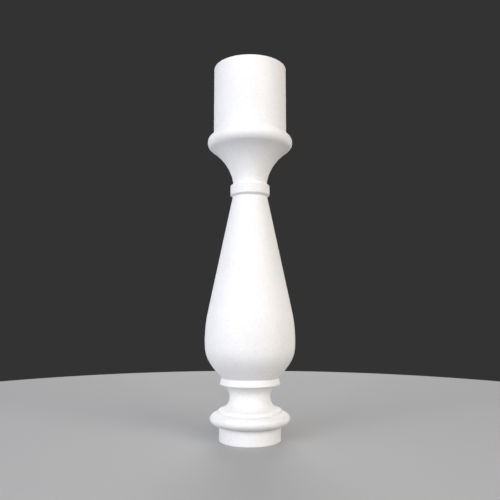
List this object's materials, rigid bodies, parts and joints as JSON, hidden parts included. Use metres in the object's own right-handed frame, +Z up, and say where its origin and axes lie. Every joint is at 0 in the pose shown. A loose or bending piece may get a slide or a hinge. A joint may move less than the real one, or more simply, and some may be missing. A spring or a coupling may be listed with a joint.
{
  "type": "stone baluster",
  "caption": "Turned white stone baluster with a vase-shaped shaft between a collared bell capital and a moulded base, for a balustrade between plinth and rail.",
  "frame": {"origin": "centre of the round bed that the baluster stands on", "axes": "+Z up along the axis it was turned on; round about Z, so +X and +Y are level and alike"},
  "size_m": [0.1666, 0.1666, 0.7],
  "materials": {
    "stone": "matte"
  },
  "bodies": {
    "root": {"baluster": "stone"}
  },
  "joints": []
}
